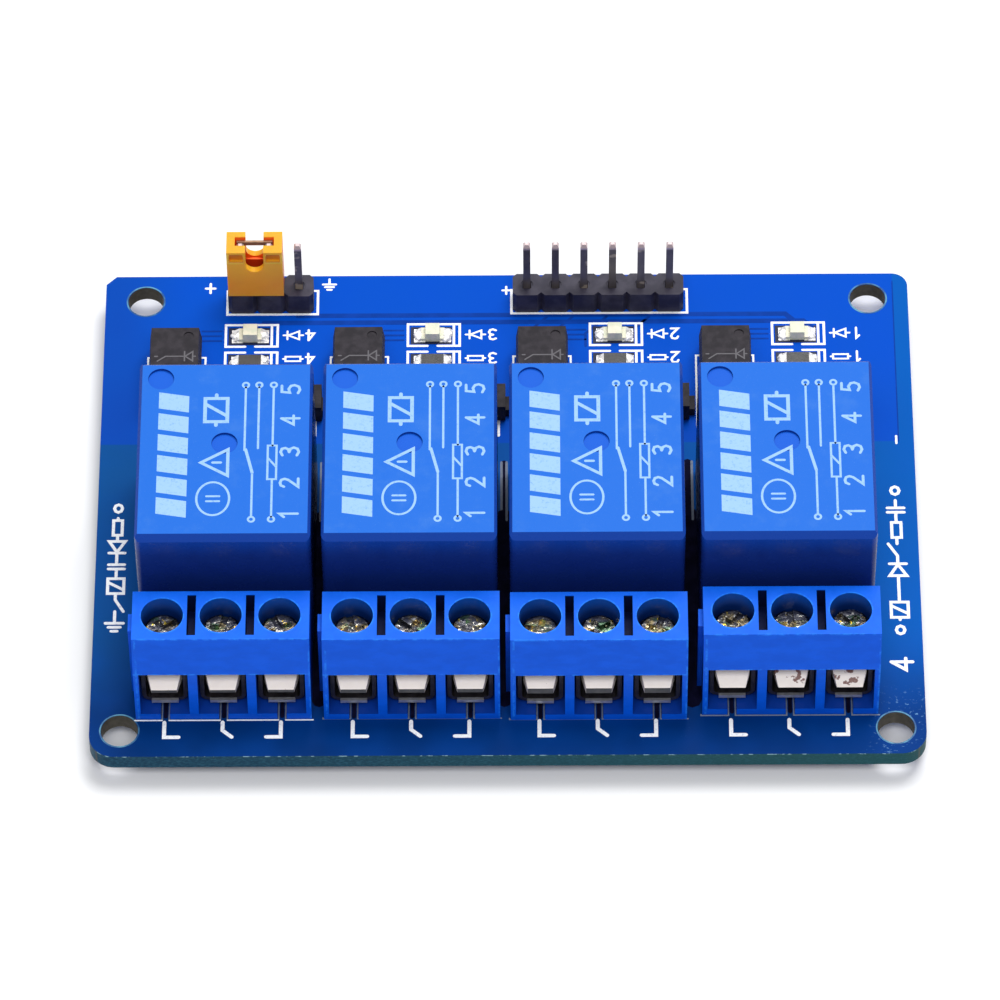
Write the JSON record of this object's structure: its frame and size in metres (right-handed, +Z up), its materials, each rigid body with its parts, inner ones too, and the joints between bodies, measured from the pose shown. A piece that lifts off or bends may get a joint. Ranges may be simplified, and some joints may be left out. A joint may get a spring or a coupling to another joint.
{
  "type": "relay module board",
  "caption": "Circuit board with sealed relays, screw terminals, optocoupled drivers, indicators and pin headers, for switching power circuits from logic signals.",
  "frame": {"origin": "middle of the board in plan, at the level of the trimmed lead ends under the board, on which it stands", "axes": "+X along the row of relays, +Y from the screw terminals to the pin headers, +Z up out of the component side"},
  "size_m": [0.0718, 0.0524, 0.0191],
  "materials": {
    "board_mask": "glossy blue solder mask on fibreglass, glass-green at the cut edges",
    "relay_plastic": "fine matte moulded thermoplastic, bright blue",
    "relay_base_plastic": "dark blue moulded base",
    "magnet_iron": "plated soft iron",
    "bobbin_plastic": "natural moulded nylon",
    "coil_wire": "enamelled copper wire, wound",
    "contact_alloy": "tinned copper alloy strip",
    "terminal_plastic": "satin moulded thermoplastic, bright blue",
    "screw_steel": "bright zinc plated steel",
    "clamp_steel": "nickel plated steel strip",
    "tongue_alloy": "bright tinned copper alloy",
    "header_plastic": "black moulded thermoplastic",
    "header_pin": "tinned square wire",
    "cap_plastic": "yellow-orange moulded thermoplastic",
    "spring_bronze": "phosphor bronze strip",
    "chip_epoxy": "dark grey moulded epoxy",
    "lead_tin": "tinned lead frame",
    "led_resin": "cream translucent resin",
    "resistor_body": "black glazed thick film with tinned ends",
    "solder": "bright solder"
  },
  "bodies": {
    "board": {"circuit_board": "board_mask", "relay_cover_1": "relay_plastic", "relay_cover_2": "relay_plastic", "relay_cover_3": "relay_plastic", "relay_cover_4": "relay_plastic", "relay_base_1": "relay_base_plastic", "relay_base_2": "relay_base_plastic", "relay_base_3": "relay_base_plastic", "relay_base_4": "relay_base_plastic", "relay_irons": "magnet_iron", "relay_bobbins": "bobbin_plastic", "relay_coils": "coil_wire", "relay_contacts": "contact_alloy", "relay_coil_pins": "lead_tin", "terminal_housing_1": "terminal_plastic", "terminal_housing_2": "terminal_plastic", "terminal_housing_3": "terminal_plastic", "terminal_housing_4": "terminal_plastic", "terminal_pins": "tongue_alloy", "input_header_body": "header_plastic", "input_header_pins": "header_pin", "power_header_body": "header_plastic", "power_header_pins": "header_pin", "optocouplers": "chip_epoxy", "optocoupler_leads": "lead_tin", "indicator_leds": "led_resin", "chip_resistors": "resistor_body", "transistors": "chip_epoxy", "flyback_diodes": "chip_epoxy", "solder_joints": "solder"},
    "armature_1": {"relay_armature_1": "magnet_iron"},
    "armature_2": {"relay_armature_2": "magnet_iron"},
    "armature_3": {"relay_armature_3": "magnet_iron"},
    "armature_4": {"relay_armature_4": "magnet_iron"},
    "screw_1_1": {"terminal_screw_1_1": "screw_steel"},
    "clamp_1_1": {"terminal_clamp_1_1": "clamp_steel"},
    "screw_1_2": {"terminal_screw_1_2": "screw_steel"},
    "clamp_1_2": {"terminal_clamp_1_2": "clamp_steel"},
    "screw_1_3": {"terminal_screw_1_3": "screw_steel"},
    "clamp_1_3": {"terminal_clamp_1_3": "clamp_steel"},
    "screw_2_1": {"terminal_screw_2_1": "screw_steel"},
    "clamp_2_1": {"terminal_clamp_2_1": "clamp_steel"},
    "screw_2_2": {"terminal_screw_2_2": "screw_steel"},
    "clamp_2_2": {"terminal_clamp_2_2": "clamp_steel"},
    "screw_2_3": {"terminal_screw_2_3": "screw_steel"},
    "clamp_2_3": {"terminal_clamp_2_3": "clamp_steel"},
    "screw_3_1": {"terminal_screw_3_1": "screw_steel"},
    "clamp_3_1": {"terminal_clamp_3_1": "clamp_steel"},
    "screw_3_2": {"terminal_screw_3_2": "screw_steel"},
    "clamp_3_2": {"terminal_clamp_3_2": "clamp_steel"},
    "screw_3_3": {"terminal_screw_3_3": "screw_steel"},
    "clamp_3_3": {"terminal_clamp_3_3": "clamp_steel"},
    "screw_4_1": {"terminal_screw_4_1": "screw_steel"},
    "clamp_4_1": {"terminal_clamp_4_1": "clamp_steel"},
    "screw_4_2": {"terminal_screw_4_2": "screw_steel"},
    "clamp_4_2": {"terminal_clamp_4_2": "clamp_steel"},
    "screw_4_3": {"terminal_screw_4_3": "screw_steel"},
    "clamp_4_3": {"terminal_clamp_4_3": "clamp_steel"},
    "jumper": {"jumper_cap": "cap_plastic", "jumper_contact": "spring_bronze"}
  },
  "joints": [
    {"name": "armature_1_pull", "type": "hinge", "parent": "board", "child": "armature_1", "pos_m": [-0.02413, 0.0026, 0.01435], "axis": [1, 0, 0], "range_deg": [0, 3], "stiffness_Nm_per_rad": 0.002, "springref_deg": -11.46},
    {"name": "armature_2_pull", "type": "hinge", "parent": "board", "child": "armature_2", "pos_m": [-0.00827, 0.0026, 0.01435], "axis": [1, 0, 0], "range_deg": [0, 3], "stiffness_Nm_per_rad": 0.002, "springref_deg": -11.46},
    {"name": "armature_3_pull", "type": "hinge", "parent": "board", "child": "armature_3", "pos_m": [0.00773, 0.0026, 0.01435], "axis": [1, 0, 0], "range_deg": [0, 3], "stiffness_Nm_per_rad": 0.002, "springref_deg": -11.46},
    {"name": "armature_4_pull", "type": "hinge", "parent": "board", "child": "armature_4", "pos_m": [0.02403, 0.0026, 0.01435], "axis": [1, 0, 0], "range_deg": [0, 3], "stiffness_Nm_per_rad": 0.002, "springref_deg": -11.46},
    {"name": "screw_1_1_turn", "type": "hinge", "parent": "board", "child": "screw_1_1", "pos_m": [-0.02935, -0.01853, 0.0115], "axis": [0, 0, -1], "range_deg": [-320, 1080]},
    {"name": "clamp_1_1_rise", "type": "slide", "parent": "board", "child": "clamp_1_1", "axis": [0, 0, 1], "range_m": [-0.0004, 0.00135]},
    {"name": "screw_1_2_turn", "type": "hinge", "parent": "board", "child": "screw_1_2", "pos_m": [-0.02436, -0.01853, 0.0115], "axis": [0, 0, -1], "range_deg": [-320, 1080]},
    {"name": "clamp_1_2_rise", "type": "slide", "parent": "board", "child": "clamp_1_2", "axis": [0, 0, 1], "range_m": [-0.0004, 0.00135]},
    {"name": "screw_1_3_turn", "type": "hinge", "parent": "board", "child": "screw_1_3", "pos_m": [-0.01936, -0.01853, 0.0115], "axis": [0, 0, -1], "range_deg": [-320, 1080]},
    {"name": "clamp_1_3_rise", "type": "slide", "parent": "board", "child": "clamp_1_3", "axis": [0, 0, 1], "range_m": [-0.0004, 0.00135]},
    {"name": "screw_2_1_turn", "type": "hinge", "parent": "board", "child": "screw_2_1", "pos_m": [-0.01319, -0.01863, 0.0115], "axis": [0, 0, -1], "range_deg": [-320, 1080]},
    {"name": "clamp_2_1_rise", "type": "slide", "parent": "board", "child": "clamp_2_1", "axis": [0, 0, 1], "range_m": [-0.0004, 0.00135]},
    {"name": "screw_2_2_turn", "type": "hinge", "parent": "board", "child": "screw_2_2", "pos_m": [-0.00818, -0.01863, 0.0115], "axis": [0, 0, -1], "range_deg": [-320, 1080]},
    {"name": "clamp_2_2_rise", "type": "slide", "parent": "board", "child": "clamp_2_2", "axis": [0, 0, 1], "range_m": [-0.0004, 0.00135]},
    {"name": "screw_2_3_turn", "type": "hinge", "parent": "board", "child": "screw_2_3", "pos_m": [-0.00318, -0.01863, 0.0115], "axis": [0, 0, -1], "range_deg": [-320, 1080]},
    {"name": "clamp_2_3_rise", "type": "slide", "parent": "board", "child": "clamp_2_3", "axis": [0, 0, 1], "range_m": [-0.0004, 0.00135]},
    {"name": "screw_3_1_turn", "type": "hinge", "parent": "board", "child": "screw_3_1", "pos_m": [0.00282, -0.01878, 0.0115], "axis": [0, 0, -1], "range_deg": [-320, 1080]},
    {"name": "clamp_3_1_rise", "type": "slide", "parent": "board", "child": "clamp_3_1", "axis": [0, 0, 1], "range_m": [-0.0004, 0.00135]},
    {"name": "screw_3_2_turn", "type": "hinge", "parent": "board", "child": "screw_3_2", "pos_m": [0.00783, -0.01878, 0.0115], "axis": [0, 0, -1], "range_deg": [-320, 1080]},
    {"name": "clamp_3_2_rise", "type": "slide", "parent": "board", "child": "clamp_3_2", "axis": [0, 0, 1], "range_m": [-0.0004, 0.00135]},
    {"name": "screw_3_3_turn", "type": "hinge", "parent": "board", "child": "screw_3_3", "pos_m": [0.01282, -0.01878, 0.0115], "axis": [0, 0, -1], "range_deg": [-320, 1080]},
    {"name": "clamp_3_3_rise", "type": "slide", "parent": "board", "child": "clamp_3_3", "axis": [0, 0, 1], "range_m": [-0.0004, 0.00135]},
    {"name": "screw_4_1_turn", "type": "hinge", "parent": "board", "child": "screw_4_1", "pos_m": [0.01926, -0.01828, 0.0115], "axis": [0, 0, -1], "range_deg": [-320, 1080]},
    {"name": "clamp_4_1_rise", "type": "slide", "parent": "board", "child": "clamp_4_1", "axis": [0, 0, 1], "range_m": [-0.0004, 0.00135]},
    {"name": "screw_4_2_turn", "type": "hinge", "parent": "board", "child": "screw_4_2", "pos_m": [0.02425, -0.01828, 0.0115], "axis": [0, 0, -1], "range_deg": [-320, 1080]},
    {"name": "clamp_4_2_rise", "type": "slide", "parent": "board", "child": "clamp_4_2", "axis": [0, 0, 1], "range_m": [-0.0004, 0.00135]},
    {"name": "screw_4_3_turn", "type": "hinge", "parent": "board", "child": "screw_4_3", "pos_m": [0.02925, -0.01828, 0.0115], "axis": [0, 0, -1], "range_deg": [-320, 1080]},
    {"name": "clamp_4_3_rise", "type": "slide", "parent": "board", "child": "clamp_4_3", "axis": [0, 0, 1], "range_m": [-0.0004, 0.00135]},
    {"name": "jumper_pull", "type": "slide", "parent": "board", "child": "jumper", "axis": [0, 0, 1], "range_m": [0, 0.008]}
  ],
  "couplings": [
    {"joint": "screw_1_1_turn", "follows": "clamp_1_1_rise", "rad_per_m": 13960},
    {"joint": "screw_1_2_turn", "follows": "clamp_1_2_rise", "rad_per_m": 13960},
    {"joint": "screw_1_3_turn", "follows": "clamp_1_3_rise", "rad_per_m": 13960},
    {"joint": "screw_2_1_turn", "follows": "clamp_2_1_rise", "rad_per_m": 13960},
    {"joint": "screw_2_2_turn", "follows": "clamp_2_2_rise", "rad_per_m": 13960},
    {"joint": "screw_2_3_turn", "follows": "clamp_2_3_rise", "rad_per_m": 13960},
    {"joint": "screw_3_1_turn", "follows": "clamp_3_1_rise", "rad_per_m": 13960},
    {"joint": "screw_3_2_turn", "follows": "clamp_3_2_rise", "rad_per_m": 13960},
    {"joint": "screw_3_3_turn", "follows": "clamp_3_3_rise", "rad_per_m": 13960},
    {"joint": "screw_4_1_turn", "follows": "clamp_4_1_rise", "rad_per_m": 13960},
    {"joint": "screw_4_2_turn", "follows": "clamp_4_2_rise", "rad_per_m": 13960},
    {"joint": "screw_4_3_turn", "follows": "clamp_4_3_rise", "rad_per_m": 13960}
  ]
}
